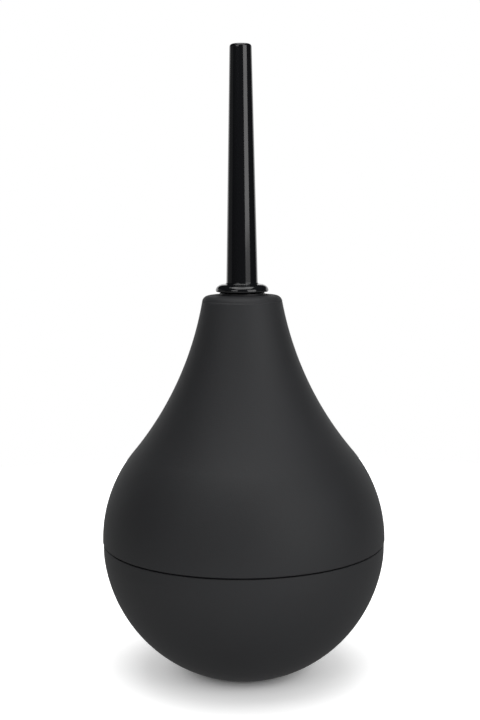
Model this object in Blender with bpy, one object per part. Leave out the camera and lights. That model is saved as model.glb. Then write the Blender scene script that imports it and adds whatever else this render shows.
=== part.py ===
"""A pear-shaped dust blower bulb that stands on its own foot, with a long tapered nozzle.

Two rubber shells meet in a lap joint at the belly. A hard bush in the neck takes the nozzle's
ribbed stem, with a seal ring under the nozzle's flange. A one-way inlet valve sits in the base.
Every piece but the bores of its valve plates is turned about the Z axis. The origin is the
centre of the foot's flat face, and +Z points up the nozzle.
"""

import math

import bmesh
import bpy
from mathutils import Matrix

MM = 0.001

# The bulb's outer shape
BELLY_RADIUS = 40.0 * MM
BOWL_DEPTH = 40.44 * MM  # upright half-axis of the bowl's ellipse, before the foot is cut flat
FOOT_RADIUS = 12.0 * MM
DOME_INSET = 1.45 * MM  # how far the dome arc's centre stands off the axis
DOME_ANGLE = math.radians(39.7)  # how far the round dome climbs from the belly
WAIST_RADIUS = 93.0 * MM  # the hollow curve that runs from the dome to the neck
NECK_SLOPE = math.radians(10.2)  # the neck's lean from upright
NECK_TOP = 107.45 * MM
NECK_CORNER = 1.85 * MM

# The bulb's walls and the lap joint at its belly
WALL = 2.6 * MM
SEAM_BELOW_BELLY = 0.5 * MM
LAP_HEIGHT = 3.3 * MM
LAP_LIP = 1.2 * MM
SEAM_CHAMFER = 0.3 * MM
FLOOR_TOP = 5.5 * MM
GAP = 0.3 * MM  # the clearance between pieces that touch

# The neck's bush and the seal ring on it
BUSH_RADIUS = 6.3 * MM
BUSH_BORE = 4.3 * MM
BUSH_BOTTOM = 86.2 * MM
BUSH_COLLAR_RADIUS = 8.8 * MM
BUSH_COLLAR_HEIGHT = 1.5 * MM
SHOULDER_RADIUS = 9.3 * MM  # the flat shoulder inside the neck that the collar bears on
THROAT_DROP = 4.0 * MM  # the cone from that shoulder down to the thin wall
SEAL_SECTION = 0.75 * MM
SEAL_CENTRE_RADIUS = 4.72 * MM
SEAL_SEAT_RADIUS = 5.6 * MM
SEAL_SEAT_DEPTH = 2.2 * MM

# The nozzle
NOZZLE_TOP = 176.0 * MM
NOZZLE_ROOT_RADIUS = 4.38 * MM
NOZZLE_TIP_RADIUS = 3.03 * MM
TIP_CORNER = 0.9 * MM
FLANGE_BOTTOM = 108.55 * MM
FLANGE_RADIUS = 7.38 * MM
FLANGE_HEIGHT = 2.1 * MM
FLANGE_CROWN = 2.4 * MM  # how far in from the rim the flange's rounded top reaches
FLANGE_EDGE = 0.37 * MM  # the round on the flange's lower edge
ROOT_FILLET = 0.4 * MM
STEM_RADIUS = 3.7 * MM
STEM_BOTTOM = 91.0 * MM
RIB_COUNT = 3
RIB_PITCH = 3.4 * MM
RIB_HEIGHT = 0.3 * MM
RIB_RAMP = 0.7  # the share of a rib's pitch over which it ramps out
RIB_STEP = 0.02  # the share over which it steps back in
BORE_RADIUS = 1.5 * MM
JET_RADIUS = 1.0 * MM
JET_LENGTH = 8.0 * MM

# The inlet valve in the base
INLET_RECESS_RADIUS = 9.3 * MM
INLET_RECESS_DEPTH = 1.6 * MM
INLET_BORE = 6.0 * MM
SEAT_FACE_Z = 0.4 * MM  # the seat's flange stays this far above the table
SEAT_FLANGE_HEIGHT = 0.9 * MM
SEAT_PLATE_BOTTOM = 2.4 * MM
SEAT_PLATE_TOP = 3.6 * MM
SEAT_CHAMBER_RADIUS = 4.5 * MM
SEAT_BEAD = 0.4 * MM  # how far the snap bead stands out past the base's hole
SEAT_TOP = 7.4 * MM
SEAT_HOLES = [(2.5 * MM, 6)]  # (ring radius, number of holes)
SEAT_HOLE_RADIUS = 0.8 * MM
DISC_RADIUS = 3.9 * MM
DISC_HEIGHT = 0.8 * MM
DISC_LIFT = 1.2 * MM
CAGE_HEIGHT = 1.0 * MM
CAGE_HOLES = [(2.4 * MM, 4)]
CAGE_HOLE_RADIUS = 1.1 * MM
SCREEN_Z = 1.0 * MM
SCREEN_HEIGHT = 0.5 * MM
SCREEN_HOLES = [(0.0, 1), (1.3 * MM, 6), (2.7 * MM, 12)]
SCREEN_HOLE_RADIUS = 0.42 * MM

# How finely the round pieces are cut
SHELL_SIDES = 48
SMALL_SIDES = 32
HOLE_SIDES = 12
BOWL_STEPS = 11
DOME_STEPS = 7
WAIST_STEPS = 8
CORNER_STEPS = 5
TIP_STEPS = 4
EDGE_STEPS = 3
SEAL_STEPS = 10  # round the seal ring's section
MERGE = 1e-7
SHARP = math.radians(35)  # edges bent more than this are shaded sharp

# Heights and places that follow from the driving dimensions
BELLY_Z = BOWL_DEPTH * math.sqrt(1 - (FOOT_RADIUS / BELLY_RADIUS) ** 2)
SEAM_Z = BELLY_Z - SEAM_BELOW_BELLY
DOME_RADIUS = BELLY_RADIUS - DOME_INSET
WAIST_CENTRE = (
    DOME_INSET + (DOME_RADIUS + WAIST_RADIUS) * math.cos(DOME_ANGLE),
    BELLY_Z + (DOME_RADIUS + WAIST_RADIUS) * math.sin(DOME_ANGLE),
)
BUSH_TOP = FLANGE_BOTTOM - GAP
SHOULDER_Z = BUSH_BOTTOM + BUSH_COLLAR_HEIGHT + GAP
FLANGE_TOP = FLANGE_BOTTOM + FLANGE_HEIGHT


def arc(centre, radii, start, end, steps):
    """Points (r, z) on an ellipse about centre, from one angle to another in even steps."""
    angles = [start + (end - start) * i / steps for i in range(steps + 1)]
    return [
        (centre[0] + radii[0] * math.cos(a), centre[1] + radii[1] * math.sin(a)) for a in angles
    ]


def circle(centre, radius, steps):
    """A closed round section."""
    return arc(centre, (radius, radius), 0, 2 * math.pi, steps)[:-1]


def material(name, colour, roughness, metallic=0.0):
    """A Principled material with one colour."""
    made = bpy.data.materials.new(name)
    made.use_nodes = True
    shader = made.node_tree.nodes["Principled BSDF"]
    shader.inputs["Base Color"].default_value = (*colour, 1.0)
    shader.inputs["Roughness"].default_value = roughness
    shader.inputs["Metallic"].default_value = metallic
    made.diffuse_color = (*colour, 1.0)
    return made


def add_object(name, mesh, finish):
    """Links a new object with its material."""
    piece = bpy.data.objects.new(name, mesh)
    bpy.context.collection.objects.link(piece)
    if finish:
        mesh.materials.append(finish)
    return piece


def turned(name, profile, sides, finish, ring=True):
    """Spins a profile of (r, z) points about Z. A ring's profile is a closed outline off the axis,
    and a solid's runs from the axis back to the axis."""
    mesh = bpy.data.meshes.new(name)
    bm = bmesh.new()
    points = [bm.verts.new((r, 0.0, z)) for r, z in profile]
    edges = [bm.edges.new(pair) for pair in zip(points, points[1:])]
    if ring:
        edges.append(bm.edges.new((points[-1], points[0])))
    bmesh.ops.spin(
        bm, geom=points + edges, cent=(0, 0, 0), axis=(0, 0, 1), angle=2 * math.pi, steps=sides
    )
    bmesh.ops.remove_doubles(bm, verts=bm.verts, dist=MERGE)
    bmesh.ops.recalc_face_normals(bm, faces=bm.faces)
    bm.to_mesh(mesh)
    bm.free()
    mesh.shade_smooth()
    mesh.set_sharp_from_angle(angle=SHARP)
    return add_object(name, mesh, finish)


def drill(piece, rings, hole_radius, bottom, top):
    """Cuts upright round holes through a plate. rings lists (ring radius, number of holes)."""
    bm = bmesh.new()
    for ring_radius, count in rings:
        for i in range(count):
            angle = 2 * math.pi * i / count
            place = Matrix.Translation(
                (ring_radius * math.cos(angle), ring_radius * math.sin(angle), (bottom + top) / 2)
            )
            bmesh.ops.create_cone(
                bm,
                cap_ends=True,
                segments=HOLE_SIDES,
                radius1=hole_radius,
                radius2=hole_radius,
                depth=top - bottom + 2 * GAP,
                matrix=place,
            )
    mesh = bpy.data.meshes.new(piece.name + "_drill")
    bm.to_mesh(mesh)
    bm.free()
    cutter = add_object(piece.name + "_drill", mesh, None)
    cutter.hide_render = True
    cutter.display_type = "WIRE"
    cut = piece.modifiers.new("holes", "BOOLEAN")
    cut.operation = "DIFFERENCE"
    cut.solver = "EXACT"
    cut.object = cutter


def bulb_lower_shell(rubber):
    """The bowl: a flat foot ring, a thick floor with the inlet's hole, and the lap joint's tongue."""
    rim_z = SEAM_Z - GAP / 2
    tongue_top = rim_z + LAP_HEIGHT
    tongue_outer = BELLY_RADIUS - LAP_LIP - GAP
    inner = (BELLY_RADIUS - WALL, BOWL_DEPTH - WALL)
    foot_angle = -math.acos(FOOT_RADIUS / BELLY_RADIUS)
    chamfer_angle = math.asin((rim_z - SEAM_CHAMFER - BELLY_Z) / BOWL_DEPTH)
    floor_angle = math.asin((FLOOR_TOP - BELLY_Z) / inner[1])
    profile = [
        (INLET_BORE, INLET_RECESS_DEPTH),
        (INLET_RECESS_RADIUS, INLET_RECESS_DEPTH),
        (INLET_RECESS_RADIUS, 0.0),
    ]
    profile += arc((0, BELLY_Z), (BELLY_RADIUS, BOWL_DEPTH), foot_angle, chamfer_angle, BOWL_STEPS)
    profile += [
        (BELLY_RADIUS - SEAM_CHAMFER, rim_z),
        (tongue_outer, rim_z),
        (tongue_outer, tongue_top),
        (upper_inner_radius(tongue_top), tongue_top),
    ]
    profile += arc((0, BELLY_Z), inner, 0, floor_angle, BOWL_STEPS)
    profile.append((INLET_BORE, FLOOR_TOP))
    return turned("bulb_lower_shell", profile, SHELL_SIDES, rubber)


def upper_inner_radius(z):
    """The dome's inner radius at height z."""
    return DOME_INSET + math.sqrt((DOME_RADIUS - WALL) ** 2 - (z - BELLY_Z) ** 2)


def dome_and_waist(offset, start_z, end_slope):
    """The dome's arc and then the waist's, both moved inwards by offset, from start_z up."""
    dome = DOME_RADIUS - offset
    waist = WAIST_RADIUS + offset
    start = math.asin((start_z - BELLY_Z) / dome)
    points = arc((DOME_INSET, BELLY_Z), (dome, dome), start, DOME_ANGLE, DOME_STEPS)
    return points + arc(
        WAIST_CENTRE, (waist, waist), math.pi + DOME_ANGLE, math.pi + end_slope, WAIST_STEPS
    )[1:]


def neck_corner(start):
    """The round from the neck's leaning side to its flat top. start is the waist's last point."""
    rise = NECK_TOP - NECK_CORNER * (1 - math.sin(NECK_SLOPE)) - start[1]
    centre = (
        start[0] - rise * math.tan(NECK_SLOPE) - NECK_CORNER * math.cos(NECK_SLOPE),
        NECK_TOP - NECK_CORNER,
    )
    return arc(centre, (NECK_CORNER, NECK_CORNER), NECK_SLOPE, math.pi / 2, CORNER_STEPS)


def bulb_upper_shell(rubber):
    """The dome, waist and thick neck in one piece, open below, with the bush's hole above."""
    rim_z = SEAM_Z + GAP / 2
    rebate_radius = BELLY_RADIUS - LAP_LIP
    rebate_top = rim_z + LAP_HEIGHT
    throat_z = SHOULDER_Z - THROAT_DROP
    throat_slope = math.asin((WAIST_CENTRE[1] - throat_z) / (WAIST_RADIUS + WALL))
    outside = dome_and_waist(0.0, rim_z, NECK_SLOPE)
    outside += neck_corner(outside[-1])
    inside = dome_and_waist(WALL, rebate_top, throat_slope)
    profile = [(rebate_radius, rebate_top), (rebate_radius, rim_z)]
    profile += outside
    profile += [
        (BUSH_RADIUS + GAP, NECK_TOP),
        (BUSH_RADIUS + GAP, SHOULDER_Z),
        (SHOULDER_RADIUS, SHOULDER_Z),
    ]
    profile += reversed(inside)
    return turned("bulb_upper_shell", profile, SHELL_SIDES, rubber)


def neck_bush(plastic):
    """A tube with a collar at its foot, which holds it in the neck, and a seat for the seal ring."""
    collar_top = BUSH_BOTTOM + BUSH_COLLAR_HEIGHT
    seat_z = BUSH_TOP - SEAL_SEAT_DEPTH
    profile = [
        (BUSH_BORE, BUSH_BOTTOM),
        (BUSH_COLLAR_RADIUS, BUSH_BOTTOM),
        (BUSH_COLLAR_RADIUS, collar_top),
        (BUSH_RADIUS, collar_top),
        (BUSH_RADIUS, BUSH_TOP),
        (SEAL_SEAT_RADIUS, BUSH_TOP),
        (SEAL_SEAT_RADIUS, seat_z),
        (BUSH_BORE, seat_z),
    ]
    return turned("neck_bush", profile, SMALL_SIDES, plastic)


def nozzle_seal_ring(rubber):
    """A round rubber ring in the bush's seat, under the nozzle's flange."""
    centre = (SEAL_CENTRE_RADIUS, BUSH_TOP - SEAL_SEAT_DEPTH + GAP + SEAL_SECTION)
    return turned("nozzle_seal_ring", circle(centre, SEAL_SECTION, SEAL_STEPS), SMALL_SIDES, rubber)


def stem_ribs():
    """The stem's outline from its lower end: ribs that ramp out and step back in."""
    root = STEM_RADIUS - RIB_HEIGHT
    points = []
    for i in range(RIB_COUNT):
        z = STEM_BOTTOM + i * RIB_PITCH
        crest = z + RIB_RAMP * RIB_PITCH
        points += [(root, z), (STEM_RADIUS, crest), (root, crest + RIB_STEP * RIB_PITCH)]
    return points


def nozzle(gloss):
    """The ribbed stem, the domed flange and the long tapered tube, with one bore through."""
    smooth_stem_z = STEM_BOTTOM + RIB_COUNT * RIB_PITCH
    rim_z = FLANGE_BOTTOM + FLANGE_EDGE
    edge_centre = (FLANGE_RADIUS - FLANGE_EDGE, rim_z)
    edge = arc(edge_centre, (FLANGE_EDGE, FLANGE_EDGE), -math.pi / 2, 0, EDGE_STEPS)
    crown = arc(
        (FLANGE_RADIUS - FLANGE_CROWN, rim_z),
        (FLANGE_CROWN, FLANGE_TOP - rim_z),
        0,
        math.pi / 2,
        CORNER_STEPS,
    )
    tip_centre = (NOZZLE_TIP_RADIUS - TIP_CORNER, NOZZLE_TOP - TIP_CORNER)
    profile = [(BORE_RADIUS, STEM_BOTTOM)]
    profile += stem_ribs()
    profile += [(STEM_RADIUS, smooth_stem_z), (STEM_RADIUS, FLANGE_BOTTOM)]
    profile += edge + crown[1:-1]
    profile += [
        (NOZZLE_ROOT_RADIUS + ROOT_FILLET, FLANGE_TOP),
        (NOZZLE_ROOT_RADIUS, FLANGE_TOP + ROOT_FILLET),
    ]
    profile += arc(tip_centre, (TIP_CORNER, TIP_CORNER), 0, math.pi / 2, TIP_STEPS)
    profile += [(JET_RADIUS, NOZZLE_TOP), (BORE_RADIUS, NOZZLE_TOP - JET_LENGTH)]
    return turned("nozzle", profile, SMALL_SIDES, gloss)


def inlet_valve_seat(plastic):
    """A flanged plug that snaps into the base, with a plate of air holes across its middle."""
    barrel = INLET_BORE - GAP
    bead = INLET_BORE + SEAT_BEAD
    flange_top = SEAT_FACE_Z + SEAT_FLANGE_HEIGHT
    bead_bottom = FLOOR_TOP + GAP
    profile = [
        (0.0, SEAT_PLATE_BOTTOM),
        (SEAT_CHAMBER_RADIUS, SEAT_PLATE_BOTTOM),
        (SEAT_CHAMBER_RADIUS, SEAT_FACE_Z),
        (INLET_RECESS_RADIUS - GAP, SEAT_FACE_Z),
        (INLET_RECESS_RADIUS - GAP, flange_top),
        (barrel, flange_top),
        (barrel, bead_bottom),
        (bead, bead_bottom + GAP),
        (bead, bead_bottom + 2 * GAP),
        (barrel, SEAT_TOP),
        (SEAT_CHAMBER_RADIUS, SEAT_TOP),
        (SEAT_CHAMBER_RADIUS, SEAT_PLATE_TOP),
        (0.0, SEAT_PLATE_TOP),
    ]
    seat = turned("inlet_valve_seat", profile, SMALL_SIDES, plastic, ring=False)
    drill(seat, SEAT_HOLES, SEAT_HOLE_RADIUS, SEAT_PLATE_BOTTOM, SEAT_PLATE_TOP)
    return seat


def plate(name, radius, bottom, height, finish):
    """A flat round disc about the Z axis."""
    profile = [(0.0, bottom), (radius, bottom), (radius, bottom + height), (0.0, bottom + height)]
    return turned(name, profile, SMALL_SIDES, finish, ring=False)


def inlet_valve_disc(rubber):
    """The loose flap that lies on the seat's holes. Its origin is at its rest place on the axis."""
    bottom = SEAT_PLATE_TOP + GAP
    disc = plate("inlet_valve_disc", DISC_RADIUS, 0.0, DISC_HEIGHT, rubber)
    disc.location = (0.0, 0.0, bottom)
    return disc


def inlet_valve_cage(plastic):
    """The pierced lid that stops the disc's lift."""
    bottom = SEAT_PLATE_TOP + GAP + DISC_HEIGHT + DISC_LIFT + GAP
    cage = plate("inlet_valve_cage", SEAT_CHAMBER_RADIUS - GAP, bottom, CAGE_HEIGHT, plastic)
    drill(cage, CAGE_HOLES, CAGE_HOLE_RADIUS, bottom, bottom + CAGE_HEIGHT)
    return cage


def inlet_screen(metal):
    """The pierced dust screen in the inlet's mouth."""
    radius = SEAT_CHAMBER_RADIUS - GAP
    screen = plate("inlet_screen", radius, SCREEN_Z, SCREEN_HEIGHT, metal)
    drill(screen, SCREEN_HOLES, SCREEN_HOLE_RADIUS, SCREEN_Z, SCREEN_Z + SCREEN_HEIGHT)
    return screen


def main():
    for old in list(bpy.data.objects):
        bpy.data.objects.remove(old, do_unlink=True)
    bulb_rubber = material("bulb_rubber", (0.034, 0.036, 0.041), 0.75)
    nozzle_gloss = material("nozzle_gloss", (0.006, 0.006, 0.007), 0.15)
    bush_plastic = material("bush_plastic", (0.02, 0.02, 0.022), 0.5)
    seal_rubber = material("seal_rubber", (0.015, 0.015, 0.016), 0.6)
    screen_steel = material("screen_steel", (0.55, 0.55, 0.56), 0.35, 1.0)
    bulb_lower_shell(bulb_rubber)
    bulb_upper_shell(bulb_rubber)
    neck_bush(bush_plastic)
    nozzle_seal_ring(seal_rubber)
    nozzle(nozzle_gloss)
    inlet_valve_seat(bush_plastic)
    inlet_valve_disc(seal_rubber)
    inlet_valve_cage(bush_plastic)
    inlet_screen(screen_steel)


main()
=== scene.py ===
"""The looks of a dust blower bulb: fine turned surfaces for its two soft-touch rubber shells, its
polished nozzle, its neck bush and its seal ring, and finishes for the pieces of its inlet valve."""
import math

import bpy
import numpy as np
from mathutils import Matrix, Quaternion, Vector


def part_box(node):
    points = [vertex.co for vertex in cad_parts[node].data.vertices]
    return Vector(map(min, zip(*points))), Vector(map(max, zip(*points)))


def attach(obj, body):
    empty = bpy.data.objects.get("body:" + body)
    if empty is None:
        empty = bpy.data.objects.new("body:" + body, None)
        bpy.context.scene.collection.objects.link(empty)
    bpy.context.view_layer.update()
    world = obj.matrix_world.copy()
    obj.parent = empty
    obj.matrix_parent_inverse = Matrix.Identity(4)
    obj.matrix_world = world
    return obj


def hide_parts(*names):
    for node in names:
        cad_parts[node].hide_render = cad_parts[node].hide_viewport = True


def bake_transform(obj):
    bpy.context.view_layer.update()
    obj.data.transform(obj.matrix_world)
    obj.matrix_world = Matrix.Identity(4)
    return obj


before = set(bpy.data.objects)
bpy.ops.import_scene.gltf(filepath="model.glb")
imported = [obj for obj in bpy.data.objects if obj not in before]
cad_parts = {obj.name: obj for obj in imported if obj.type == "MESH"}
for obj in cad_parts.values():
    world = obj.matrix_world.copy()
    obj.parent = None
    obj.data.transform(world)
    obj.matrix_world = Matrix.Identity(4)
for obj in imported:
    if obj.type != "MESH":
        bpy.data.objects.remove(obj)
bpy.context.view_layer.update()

MM = 0.001

# Lowest and highest corners read from the frame
TONGUE_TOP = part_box("bulb_lower_shell")[1].z
UPPER_LOW, UPPER_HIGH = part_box("bulb_upper_shell")
BUSH_LOW, BUSH_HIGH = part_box("neck_bush")
NOZZLE_LOW, NOZZLE_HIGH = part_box("nozzle")
SEAL_LOW, SEAL_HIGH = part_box("nozzle_seal_ring")

# The bulb's outer shape and walls
BELLY_RADIUS = 40.0 * MM
BOWL_DEPTH = 40.44 * MM
FOOT_RADIUS = 12.0 * MM
DOME_INSET = 1.45 * MM  # how far the dome arc's centre stands off the axis
DOME_RADIUS = BELLY_RADIUS - DOME_INSET
DOME_ANGLE = math.radians(39.7)
WAIST_RADIUS = 93.0 * MM
NECK_SLOPE = math.radians(10.2)
NECK_CORNER = 1.85 * MM
NECK_CROWN = 0.34 * MM  # how far the neck's top rises towards its hole
WALL = 2.6 * MM
LAP_LIP = 1.2 * MM
GAP = 0.3 * MM  # between neighbours that touch on the real thing
FLOOR_TOP = 5.5 * MM
INLET_BORE = 6.0 * MM
INLET_RECESS_RADIUS = 9.3 * MM
INLET_RECESS_DEPTH = 1.6 * MM
SHOULDER_RADIUS = 9.3 * MM
THROAT_DROP = 4.0 * MM
BOWL_STEP = 0.16 * MM  # how much narrower the bowl's rim is than the dome's
BELLY_Z = BOWL_DEPTH * math.sqrt(1 - (FOOT_RADIUS / BELLY_RADIUS) ** 2)
SEAM_TOP = UPPER_LOW.z
SEAM_BOTTOM = SEAM_TOP - GAP
WAIST_CENTRE = (
    DOME_INSET + (DOME_RADIUS + WAIST_RADIUS) * math.cos(DOME_ANGLE),
    BELLY_Z + (DOME_RADIUS + WAIST_RADIUS) * math.sin(DOME_ANGLE),
)
NECK_TOP = UPPER_HIGH.z

# Neck bush and nozzle stem
BUSH_RADIUS = 6.3 * MM
BUSH_COLLAR = 1.5 * MM  # height of the bush's wide lower end
STEM_RADIUS = 3.7 * MM
STEM_BORE = 4.3 * MM  # the hole in the bush that takes the nozzle's stem

# How finely the surfaces are cut
SHELL_SIDES = 256
NOZZLE_SIDES = 192
SMALL_SIDES = 128
HOLD = 1.35  # how far past a rounded corner a point holds each side straight, in the arc's reach

# Floor, room and lights. Glows are (place, grey) stops.
FLOOR_RADIUS = 0.30
# Painted shadow: the floor's own glow, nil round the bulb's foot and full by 60 mm out, draws much
# of the soft shadow under the bulb
FLOOR_GLOW_PAINTED_SHADOW = [(0.0115, 0.0), (0.0165, 0.17), (0.021, 0.36), (0.034, 0.60), (0.06, 1.0)]
ROOM_GLOW = [(0.0, 0.32), (0.14, 0.47), (0.30, 0.76), (0.42, 0.95), (0.46, 0.05), (0.5, 0.015)]
ROOM_SIDE = 0.80  # strength of the room's glow at the sides
ROOM_FRONT = 0.55  # what the front gains and the back loses
ROOM_ENDS = 0.35  # what front and back both gain
LIGHT_DISTANCE = 0.9
LIGHT_AIM = Vector((0, 0, 0.10))


# ---------------------------------------------------------------- surfaces


def arc(centre, radii, start, end, steps):
    """Points (r, z) on an ellipse about centre: centre + radii * (cos a, sin a), with the angle a
    going evenly from start to end."""
    a = np.linspace(start, end, steps + 1)
    return np.stack([centre[0] + radii[0] * np.cos(a), centre[1] + radii[1] * np.sin(a)], axis=1)


def rounded(corners, closed, steps=6):
    """An outline of (r, z, rounding) corners with each corner replaced by the arc of that radius
    that touches both of its sides, and a point a little way along each side to hold it flat."""
    points = np.array([c[:2] for c in corners], float)
    count = len(points)
    path = []
    for i, (r, z, radius) in enumerate(corners):
        here = np.array((r, z))
        if radius <= 0 or (not closed and i in (0, count - 1)):
            path.append(here)
            continue
        back = points[i - 1] - here
        ahead = points[(i + 1) % count] - here
        back /= np.linalg.norm(back)
        ahead /= np.linalg.norm(ahead)
        half = math.acos(np.clip(back @ ahead, -1, 1)) / 2
        reach = radius / math.tan(half)
        middle = (back + ahead) / np.linalg.norm(back + ahead)
        centre = here + middle * radius / math.sin(half)
        first = here + back * reach - centre
        last = here + ahead * reach - centre
        t = np.linspace(0, 1, steps + 1)[:, None]
        sweep = math.pi - 2 * half
        curve = (np.sin((1 - t) * sweep) * first + np.sin(t * sweep) * last) / math.sin(sweep)
        path.append(here + back * reach * HOLD)
        path.extend(centre + curve)
        path.append(here + ahead * reach * HOLD)
    return np.array(path)


def surface(name, points, faces, finish, body, node):
    """Puts whole arrays of points and quads into a mesh, and joins the piece to the frame. A piece
    that bends between two bodies has no body of its own."""
    mesh = bpy.data.meshes.new(name)
    mesh.from_pydata(points, [], faces)
    mesh.validate()
    mesh.polygons.foreach_set("use_smooth", np.ones(len(mesh.polygons), bool))
    mesh.materials.append(finish)
    piece = bpy.data.objects.new(name, mesh)
    bpy.context.scene.collection.objects.link(piece)
    if body:
        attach(piece, body)
    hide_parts(node)
    return piece


def turned(name, profile, sides, finish, body, node):
    """A round piece that stands for one CAD node: a closed profile (r, z) carried round Z, so that
    x = r cos a and y = r sin a. The profile's signed area says which way the faces must turn."""
    a = np.linspace(0, 2 * math.pi, sides, endpoint=False)
    r, z = profile[:, 0], profile[:, 1]
    points = np.stack(
        [np.outer(r, np.cos(a)), np.outer(r, np.sin(a)), np.repeat(z[:, None], sides, 1)], axis=2
    ).reshape(-1, 3)
    i = np.arange(len(profile))[:, None]
    j = np.arange(sides)[None, :]
    below, above = i * sides, (i + 1) % len(profile) * sides
    right = (j + 1) % sides
    quads = np.stack([below + j, below + right, above + right, above + j], axis=2).reshape(-1, 4)
    area = 0.5 * np.sum(r * np.roll(z, -1) - np.roll(r, -1) * z)
    if area < 0:
        quads = quads[:, ::-1]
    return surface(name, points, quads.tolist(), finish, body, node)


# ---------------------------------------------------------------- shader maths


def set_stops(ramp, stops):
    """Gives a ramp these (place, grey) stops."""
    while len(ramp.elements) < len(stops):
        ramp.elements.new(1.0)
    for element, (place, grey) in zip(ramp.elements, stops):
        element.position = place
        element.color = (grey, grey, grey, 1.0)


class Wire:
    """One output socket. Arithmetic on wires adds Math nodes."""

    def __init__(self, sheet, socket):
        self.sheet = sheet
        self.socket = socket

    def _maths(self, operation, first, second):
        values = {0: first, 1: second}
        return self.sheet.node("ShaderNodeMath", {"operation": operation}, values)

    def __add__(self, other):
        return self._maths("ADD", self, other)

    def __sub__(self, other):
        return self._maths("SUBTRACT", self, other)

    def __rsub__(self, other):
        return self._maths("SUBTRACT", other, self)

    def __mul__(self, other):
        return self._maths("MULTIPLY", self, other)

    __radd__ = __add__
    __rmul__ = __mul__


class Sheet:
    """The nodes of one material, or of the room. Keywords set the shader's own sockets."""

    def __init__(self, owner, **shader):
        self.owner = owner
        owner.use_nodes = True
        self.tree = owner.node_tree
        self.shader = self.tree.nodes.get("Principled BSDF")
        for socket, value in shader.items():
            self.shader.inputs[socket.replace("_", " ")].default_value = value

    def node(self, kind, settings=None, sockets=None, out=0):
        """Adds one node: its settings first, then its sockets' values or links. Gives back a wire
        from the output asked for, if the node has any."""
        made = self.tree.nodes.new(kind)
        for name, value in (settings or {}).items():
            if name == "stops":
                set_stops(made.color_ramp, value)
            else:
                setattr(made, name, value)
        for name, value in (sockets or {}).items():
            if isinstance(value, Wire):
                self.tree.links.new(value.socket, made.inputs[name])
            else:
                made.inputs[name].default_value = value
        return Wire(self, made.outputs[out]) if made.outputs else None

    def feed(self, socket, wire):
        """Links a wire to one of the shader's own sockets."""
        self.tree.links.new(wire.socket, self.shader.inputs[socket])

    def place(self, scale=(1.0, 1.0, 1.0)):
        """Object coordinates, stretched by scale."""
        coordinates = self.node("ShaderNodeTexCoord", out=3)
        return self.node("ShaderNodeMapping", {}, {"Vector": coordinates, "Scale": scale})

    def noise(self, where, scale, detail=2.0, roughness=0.5):
        """Soft noise from 0 to 1, with scale cells a metre."""
        sockets = {"Vector": where, "Scale": scale, "Detail": detail, "Roughness": roughness}
        return self.node("ShaderNodeTexNoise", {}, sockets)

    def ramp(self, value, stops):
        """value read through (place, grey) stops."""
        return self.node("ShaderNodeValToRGB", {"stops": stops}, {"Fac": value})

    def blend(self, share, first, second):
        """The colour first where share is 0 and second where it is 1."""
        sockets = {0: share, 6: (*first, 1.0), 7: (*second, 1.0)}
        return self.node("ShaderNodeMix", {"data_type": "RGBA"}, sockets, out=2)

    def bump(self, height, distance, strength=1.0):
        """Feeds the shader's normal with height, where 1 stands distance proud."""
        sockets = {"Height": height, "Distance": distance, "Strength": strength}
        self.feed("Normal", self.node("ShaderNodeBump", {}, sockets))


def soft_touch_rubber():
    """Matte near-black rubber: a fine sand-like grain, small pores and faint clouds."""
    sheet = Sheet(bpy.data.materials.new("soft_touch_rubber"), Specular_IOR_Level=0.62)
    where = sheet.place()
    grain = sheet.noise(where, 2600.0, 3.0, 0.65)
    pores = sheet.noise(where, 900.0, 2.0, 0.5)
    clouds = sheet.noise(where, 45.0, 3.0, 0.55)
    share = sheet.ramp(clouds * 0.7 + grain * 0.3, [(0.30, 0.0), (0.70, 1.0)])
    sheet.feed("Base Color", sheet.blend(share, (0.0085, 0.0090, 0.0108), (0.0130, 0.0138, 0.0162)))
    sheet.feed("Roughness", clouds * 0.08 + grain * 0.08 + 0.59)
    sheet.bump(grain * 0.7 + pores * 0.5, 0.00006, 0.6)
    return sheet.owner


def polished_plastic():
    """Glossy black moulding: long faint flow marks, a slight ripple and sparse fine dust."""
    sheet = Sheet(bpy.data.materials.new("polished_plastic"), IOR=1.5)
    flow = sheet.noise(sheet.place((1.0, 1.0, 0.06)), 500.0, 3.0, 0.6)
    ripple = sheet.noise(sheet.place((1.0, 1.0, 0.3)), 160.0, 1.0)
    dust = sheet.ramp(sheet.noise(sheet.place(), 2400.0, 2.0, 0.7), [(0.70, 0.0), (0.78, 1.0)])
    sheet.feed("Base Color", sheet.blend(dust * 0.25, (0.0082, 0.0086, 0.0098), (0.03, 0.03, 0.032)))
    sheet.feed("Roughness", flow * 0.06 + dust * 0.2 + 0.07)
    sheet.bump(ripple * 0.8 + flow * 0.2, 0.00003, 0.35)
    return sheet.owner


def moulded_plastic():
    """Satin black plastic with a fine spark-eroded texture."""
    sheet = Sheet(bpy.data.materials.new("moulded_plastic"), IOR=1.5)
    where = sheet.place()
    grain = sheet.noise(where, 3200.0, 2.0, 0.6)
    clouds = sheet.noise(where, 240.0, 2.0)
    sheet.feed("Base Color", sheet.blend(clouds, (0.012, 0.012, 0.0135), (0.022, 0.022, 0.024)))
    sheet.feed("Roughness", clouds * 0.15 + grain * 0.1 + 0.33)
    sheet.bump(grain, 0.00004, 0.5)
    return sheet.owner


def seal_rubber():
    """Smooth dark elastomer with a slight bloom."""
    sheet = Sheet(bpy.data.materials.new("seal_rubber_finish"), IOR=1.48)
    where = sheet.place()
    bloom = sheet.noise(where, 420.0, 3.0, 0.6)
    grain = sheet.noise(where, 4000.0, 2.0)
    sheet.feed("Base Color", sheet.blend(bloom, (0.010, 0.010, 0.011), (0.026, 0.026, 0.028)))
    sheet.feed("Roughness", bloom * 0.2 + 0.42)
    sheet.bump(grain, 0.00002, 0.4)
    return sheet.owner


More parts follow.
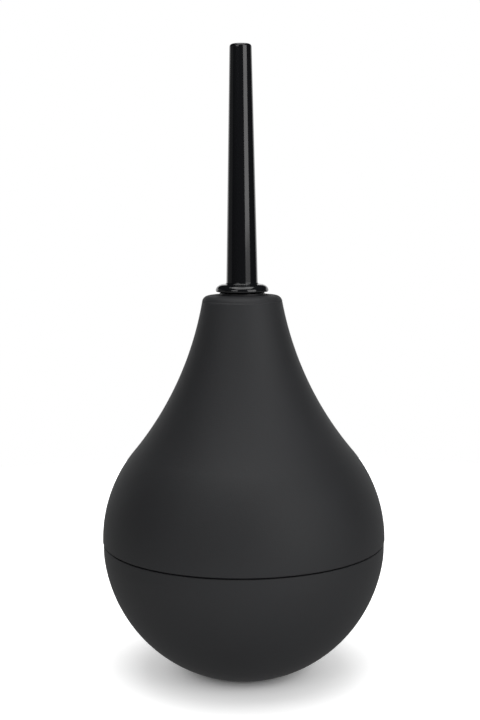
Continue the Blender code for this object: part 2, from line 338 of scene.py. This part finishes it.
def pierced_steel():
    """Thin stainless sheet with a rolled grain and darker, oxidised patches."""
    sheet = Sheet(bpy.data.materials.new("pierced_steel"), Metallic=1.0)
    rolled = sheet.noise(sheet.place((1.0, 14.0, 1.0)), 500.0, 3.0, 0.6)
    clouds = sheet.noise(sheet.place(), 300.0, 2.0)
    sheet.feed("Base Color", sheet.blend(clouds, (0.42, 0.42, 0.43), (0.62, 0.62, 0.63)))
    sheet.feed("Roughness", rolled * 0.25 + 0.22)
    sheet.bump(rolled, 0.00001, 0.5)
    return sheet.owner


# ---------------------------------------------------------------- the bulb


def dome_and_waist(offset, start_z, end_slope, dome_steps, waist_steps):
    """The dome's arc about the belly's centre, then the hollow arc that leaves it along the same
    line, both moved inwards by offset. It runs from start_z up to where the waist leans in by
    end_slope."""
    dome = DOME_RADIUS - offset
    waist = WAIST_RADIUS + offset
    start = math.asin((start_z - BELLY_Z) / dome)
    lower = arc((DOME_INSET, BELLY_Z), (dome, dome), start, DOME_ANGLE, dome_steps)
    upper = arc(
        WAIST_CENTRE, (waist, waist), math.pi + DOME_ANGLE, math.pi + end_slope, waist_steps
    )
    return np.concatenate([lower, upper[1:]])


def upper_shell(rubber):
    """Dome, waist and neck: the outer curve, a rounded neck top that is crowned a hair towards
    the middle, the bush's hole, and the inner wall back down to the lap joint."""
    rim_round, lip_height, lip_slant = 0.32 * MM, 0.3 * MM, 0.1 * MM
    mouth_round, mouth_depth, bush_play = 0.25 * MM, 0.4 * MM, 0.08 * MM
    shoulder_round, throat_round = 0.3 * MM, 0.8 * MM
    corner_tilt = math.radians(8)  # where the neck's corner stops short of level
    hole = BUSH_RADIUS + bush_play
    shoulder_z = BUSH_LOW.z + BUSH_COLLAR + GAP
    throat_z = shoulder_z - THROAT_DROP
    throat_slope = math.asin((WAIST_CENTRE[1] - throat_z) / (WAIST_RADIUS + WALL))
    throat_radius = WAIST_CENTRE[0] - (WAIST_RADIUS + WALL) * math.cos(throat_slope)
    rebate, rebate_top = BELLY_RADIUS - LAP_LIP, TONGUE_TOP + GAP
    mouth_top = NECK_TOP + NECK_CROWN

    rim_centre = (BELLY_RADIUS - rim_round, SEAM_TOP + rim_round)
    rim = arc(rim_centre, (rim_round, rim_round), -math.pi / 2, 0, 8)[:-1]
    outside = dome_and_waist(0.0, SEAM_TOP + rim_round, NECK_SLOPE, 70, 90)
    start = outside[-1]
    rise = NECK_TOP - NECK_CORNER * (1 - math.sin(NECK_SLOPE)) - start[1]
    corner_centre = (
        start[0] - rise * math.tan(NECK_SLOPE) - NECK_CORNER * math.cos(NECK_SLOPE),
        NECK_TOP - NECK_CORNER,
    )
    corner_radii = (NECK_CORNER, NECK_CORNER)
    corner = arc(corner_centre, corner_radii, NECK_SLOPE, math.pi / 2 - corner_tilt, 16)
    across = np.linspace(0, 1, 9)[1:, None]
    top = corner[-1] + (np.array((hole + mouth_round, mouth_top)) - corner[-1]) * across
    mouth_centre = (hole + mouth_round, mouth_top - mouth_round)
    mouth = arc(mouth_centre, (mouth_round, mouth_round), math.pi / 2, math.pi, 6)[1:]
    throat = rounded(
        [
            (hole, NECK_TOP - mouth_depth, 0),
            (hole, shoulder_z, shoulder_round),
            (SHOULDER_RADIUS, shoulder_z, throat_round),
            (throat_radius, throat_z, 0),
        ],
        closed=False,
    )
    inside = dome_and_waist(WALL, rebate_top, throat_slope, 24, 30)[::-1]
    lip = [(rebate, rebate_top), (rebate, SEAM_TOP + lip_height), (rebate + lip_slant, SEAM_TOP)]
    profile = np.concatenate([rim, outside, corner[1:], top, mouth, throat, inside[1:], lip])
    piece = turned(
        "upper_shell_skin", profile, SHELL_SIDES, rubber, None, "bulb_upper_shell"
    )
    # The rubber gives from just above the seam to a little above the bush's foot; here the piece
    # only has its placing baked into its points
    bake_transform(piece)


def lower_shell(rubber):
    """The bowl: an ellipse that draws in a hair towards its rim, a softly rounded foot ring, the
    inlet's recess and hole, the thick floor and the lap joint's tongue."""
    rim_round, step_height = 0.2 * MM, 5 * MM
    tongue, tongue_wall = BELLY_RADIUS - LAP_LIP - GAP, 1.15 * MM
    ledge, ledge_round, tongue_round = 0.5 * MM, 0.15 * MM, 0.3 * MM
    bore_round, recess_round, mouth_round, foot_round = 0.3 * MM, 0.25 * MM, 0.4 * MM, 1.2 * MM
    inner = (BELLY_RADIUS - WALL, BOWL_DEPTH - WALL)
    foot_angle = -math.acos(FOOT_RADIUS / BELLY_RADIUS)
    rim_angle = math.asin((SEAM_BOTTOM - rim_round - BELLY_Z) / BOWL_DEPTH)
    floor_angle = math.asin((FLOOR_TOP - BELLY_Z) / inner[1])

    outside = arc((0, BELLY_Z), (BELLY_RADIUS, BOWL_DEPTH), foot_angle, rim_angle, 120)[2:]
    near = np.clip(1 - (SEAM_BOTTOM - outside[:, 1]) / step_height, 0, 1)
    outside[:, 0] -= BOWL_STEP * near * near * (3 - 2 * near)
    rim_centre = (outside[-1][0] - rim_round, SEAM_BOTTOM - rim_round)
    rim = arc(rim_centre, (rim_round, rim_round), 0, math.pi / 2, 6)[1:]
    lap = rounded(
        [
            (tongue + ledge, SEAM_BOTTOM, 0),
            (tongue, SEAM_BOTTOM, ledge_round),
            (tongue, TONGUE_TOP, tongue_round),
            (tongue - tongue_wall, TONGUE_TOP, tongue_round),
            (inner[0], BELLY_Z, 0),
        ],
        closed=False,
    )
    inside = arc((0, BELLY_Z), inner, 0, floor_angle, 60)[1:-1]
    base = rounded(
        [
            (inner[0] * math.cos(floor_angle), FLOOR_TOP, 0),
            (INLET_BORE, FLOOR_TOP, bore_round),
            (INLET_BORE, INLET_RECESS_DEPTH, bore_round),
            (INLET_RECESS_RADIUS, INLET_RECESS_DEPTH, recess_round),
            (INLET_RECESS_RADIUS, 0.0, mouth_round),
            (FOOT_RADIUS, 0.0, foot_round),
            (outside[0][0], outside[0][1], 0),
        ],
        closed=False,
    )[:-1]
    profile = np.concatenate([outside, rim, lap, inside, base])
    turned(
        "lower_shell_skin", profile, SHELL_SIDES, rubber, "base", "bulb_lower_shell"
    )


# ---------------------------------------------------------------- nozzle and neck pieces


def stem_ribs(valley):
    """The stem's three barbs, each a corner list: up the slope to the stem's full radius, then a
    short way back in to the valley."""
    pitch, crest, back = 3.4 * MM, 2.3 * MM, 2.5 * MM
    lead_round, valley_round, crest_round = 0.4 * MM, 0.1 * MM, 0.12 * MM
    ribs = []
    for i in range(3):
        z = NOZZLE_LOW.z + i * pitch
        ribs += [
            (valley, z, valley_round if i else lead_round),
            (STEM_RADIUS, z + crest, crest_round),
            (valley, z + back, valley_round),
        ]
    return ribs


def nozzle_skin(gloss):
    """The nozzle: ribbed stem, domed flange, a small hollow fillet, a straight taper and a rounded
    tip with its jet hole. The flange's top is a quarter of an ellipse."""
    flange_bottom = BUSH_HIGH.z + GAP
    flange_radius, flange_top = NOZZLE_HIGH.x, flange_bottom + 2.1 * MM
    flange_edge, flange_crown, flange_round = 0.37 * MM, 2.4 * MM, 0.15 * MM
    tube_root, tube_tip, tip_corner = 4.38 * MM, 3.03 * MM, 0.9 * MM
    fillet = 0.6 * MM
    bore, bore_round = 1.5 * MM, 1.0 * MM
    jet, jet_round, jet_depth = 1.0 * MM, 0.25 * MM, 3 * MM
    jet_cone, cone_round = 9 * MM, 0.3 * MM
    valley = STEM_RADIUS - 0.3 * MM
    collar_start, collar_full, collar_round = 10.2 * MM, 11.0 * MM, 0.2 * MM

    below = rounded(
        [
            (bore, NOZZLE_LOW.z, 0),
            *stem_ribs(valley),
            (valley, NOZZLE_LOW.z + collar_start, collar_round),
            (STEM_RADIUS, NOZZLE_LOW.z + collar_full, collar_round),
            (STEM_RADIUS, flange_bottom, flange_round),
            (flange_radius - flange_crown, flange_bottom, 0),
        ],
        closed=False,
    )
    rim_z = flange_bottom + flange_edge
    edge_centre = (flange_radius - flange_edge, rim_z)
    edge = arc(edge_centre, (flange_edge, flange_edge), -math.pi / 2, 0, 10)
    crown_radii = (flange_crown, flange_top - rim_z)
    crown = arc((flange_radius - flange_crown, rim_z), crown_radii, 0, math.pi / 2, 28)[1:]
    crown = crown[crown[:, 0] > tube_root + fillet]
    hollow_centre = (tube_root + fillet, flange_top + fillet)
    hollow = arc(hollow_centre, (fillet, fillet), -math.pi / 2, -math.pi, 10)
    tube = rounded(
        [
            (tube_root, flange_top + fillet, 0),
            (tube_tip, NOZZLE_HIGH.z, tip_corner),
            (jet, NOZZLE_HIGH.z, jet_round),
            (jet, NOZZLE_HIGH.z - jet_depth, cone_round),
            (bore, NOZZLE_HIGH.z - jet_cone, bore_round),
            (bore, NOZZLE_LOW.z, 0),
        ],
        closed=False,
        steps=12,
    )[1:-1]
    profile = np.concatenate([below, edge, crown, hollow, tube])
    turned("nozzle_skin", profile, NOZZLE_SIDES, gloss, "nozzle_tube", "nozzle")


def bush_skin(plastic):
    """The neck's sleeve: collar below, seal seat above, every edge lightly rounded."""
    low, high = BUSH_LOW.z, BUSH_HIGH.z
    edge = 0.2 * MM
    seal_seat, seat_depth = 5.6 * MM, 2.2 * MM
    corners = [
        (STEM_BORE, low, edge),
        (BUSH_HIGH.x, low, edge),
        (BUSH_HIGH.x, low + BUSH_COLLAR, edge),
        (BUSH_RADIUS, low + BUSH_COLLAR, edge / 2),
        (BUSH_RADIUS, high, edge),
        (seal_seat, high, edge),
        (seal_seat, high - seat_depth, edge),
        (STEM_BORE, high - seat_depth, edge),
    ]
    profile = rounded(corners, closed=True)
    turned("bush_skin", profile, SMALL_SIDES, plastic, "neck", "neck_bush")


def seal_skin(rubber):
    """The seal ring: a round section carried round the axis."""
    section = (SEAL_HIGH.z - SEAL_LOW.z) / 2
    centre = (SEAL_HIGH.x - section, (SEAL_HIGH.z + SEAL_LOW.z) / 2)
    profile = arc(centre, (section, section), 0, 2 * math.pi, 40)[:-1]
    turned(
        "seal_ring_skin", profile, SMALL_SIDES, rubber, "seal", "nozzle_seal_ring"
    )


def valve_finishes(plastic, seal, steel):
    """The inlet valve's four pieces keep their own shapes and take these finishes."""
    finishes = {
        "inlet_valve_seat": plastic,
        "inlet_valve_cage": plastic,
        "inlet_valve_disc": seal,
        "inlet_screen": steel,
    }
    for node, finish in finishes.items():
        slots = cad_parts[node].data.materials
        slots.clear()
        slots.append(finish)


# ---------------------------------------------------------------- stage, light and camera


def floor_finish():
    """Plain white paper that gives off a little light of its own away from the middle. The glow is
    nil round the bulb's foot and grows outwards, so much of the soft shadow under the bulb is
    painted shadow.
    """
    sheet = Sheet(bpy.data.materials.new("white_paper_glow_painted_shadow"), Roughness=0.9, Specular_IOR_Level=0.1)
    where = sheet.place()
    fibre = sheet.noise(where, 800.0, 3.0)
    sheet.feed("Base Color", sheet.blend(fibre, (0.90, 0.90, 0.90), (0.93, 0.93, 0.93)))
    away = sheet.node("ShaderNodeVectorMath", {"operation": "LENGTH"}, {0: where}, out=1)
    # Painted shadow: the glow grows with distance from the middle, so the floor is darker under the
    # bulb
    sheet.feed("Emission Color", sheet.ramp(away, FLOOR_GLOW_PAINTED_SHADOW))
    sheet.shader.inputs["Emission Strength"].default_value = 1.0
    return sheet.owner


def floor():
    """A round flat sheet under the bulb: x = r cos a, y = r sin a. It ends where it is as white as
    the room."""
    a = np.linspace(0, 2 * math.pi, SMALL_SIDES, endpoint=False)
    rim = np.stack([FLOOR_RADIUS * np.cos(a), FLOOR_RADIUS * np.sin(a), 0 * a], axis=1)
    mesh = bpy.data.meshes.new("floor")
    mesh.from_pydata(rim, [], [tuple(range(SMALL_SIDES))])
    mesh.materials.append(floor_finish())
    sheet = bpy.data.objects.new("floor", mesh)
    bpy.context.scene.collection.objects.link(sheet)
    sheet.visible_diffuse = False
    sheet.visible_glossy = False


def softbox(name, azimuth, elevation, size, radiance):
    """A rectangular light of size (width, height) that faces the bulb's axis. Azimuth 0 is towards
    the camera, and it grows to the right. Its power is radiance * pi * its area."""
    a, e = math.radians(azimuth), math.radians(elevation)
    outward = Vector((math.sin(a) * math.cos(e), -math.cos(a) * math.cos(e), math.sin(e)))
    data = bpy.data.lights.new(name, "AREA")
    data.shape = "RECTANGLE"
    data.size, data.size_y = size
    data.energy = radiance * math.pi * size[0] * size[1]
    lamp = bpy.data.objects.new(name, data)
    lamp.location = LIGHT_AIM + outward * LIGHT_DISTANCE
    lamp.rotation_mode = "QUATERNION"
    lamp.rotation_quaternion = outward.to_track_quat("Z", "Y")
    bpy.context.scene.collection.objects.link(lamp)


def lights():
    """An upright softbox on the right that fades below, a smaller one on the left, one overhead,
    a low bright band behind and a faint wall on the left."""
    softbox("right_box", 45, 21.1, (0.60, 0.54), 3.0)
    softbox("right_low_box", 45, 0.3, (0.60, 0.125), 1.0)
    softbox("left_box", -35, 25.5, (0.42, 0.27), 2.8)
    softbox("top_box", 8, 87, (0.84, 0.84), 2.65)
    softbox("back_band", 180, 6, (2.1, 0.45), 1.05)
    softbox("left_wall", -110, 8, (1.0, 0.48), 0.14)


def surroundings():
    """A room that is white to look at. In reflections it is dark above, and below it gives back
    the soft light of the bench, by height: the direction's z from -1 to 1 is read as 0 to 1. With
    y the direction's part away from the camera, its strength is side - front * y + ends * y * y."""
    sheet = Sheet(bpy.data.worlds.new("room"))
    sheet.tree.nodes.clear()
    direction = sheet.node("ShaderNodeTexCoord")
    away = sheet.node("ShaderNodeSeparateXYZ", {}, {0: direction}, out=1)
    height = sheet.node("ShaderNodeSeparateXYZ", {}, {0: direction}, out=2)
    glow = sheet.ramp(height * 0.5 + 0.5, ROOM_GLOW)
    strength = ROOM_SIDE - away * ROOM_FRONT + away * away * ROOM_ENDS
    lit = sheet.node("ShaderNodeBackground", {}, {"Color": glow, "Strength": strength})
    seen = sheet.node("ShaderNodeBackground", {}, {"Color": (1.0, 1.0, 1.0, 1.0)})
    looked_at = sheet.node("ShaderNodeLightPath")
    room = sheet.node("ShaderNodeMixShader", {}, {0: looked_at, 1: lit, 2: seen})
    sheet.node("ShaderNodeOutputWorld", {}, {"Surface": room})
    bpy.context.scene.world = sheet.owner


def camera():
    """A camera close to the bulb and below the nozzle's tip, looking down a little."""
    focal_share = 1.7456  # focal length over the frame's long side
    pitch, roll = 0.12639, math.radians(0.38)
    data = bpy.data.cameras.new("camera")
    data.sensor_width = 36.0
    data.lens = data.sensor_width * focal_share
    data.shift_x = -0.0036
    data.clip_start = 0.01
    eye = bpy.data.objects.new("camera", data)
    eye.location = (0, -0.350, 0.13376)
    look = Vector((0, math.cos(pitch), -math.sin(pitch)))
    eye.rotation_mode = "QUATERNION"
    eye.rotation_quaternion = look.to_track_quat("-Z", "Y") @ Quaternion((0, 0, 1), -roll)
    bpy.context.scene.collection.objects.link(eye)
    bpy.context.scene.camera = eye


def main():
    bulb = soft_touch_rubber()
    upper_shell(bulb)
    lower_shell(bulb)
    nozzle_skin(polished_plastic())
    plastic, seal = moulded_plastic(), seal_rubber()
    bush_skin(plastic)
    seal_skin(seal)
    valve_finishes(plastic, seal, pierced_steel())
    floor()
    lights()
    surroundings()
    camera()
    view = bpy.context.scene.view_settings
    view.view_transform = "Standard"
    view.look = "None"


main()
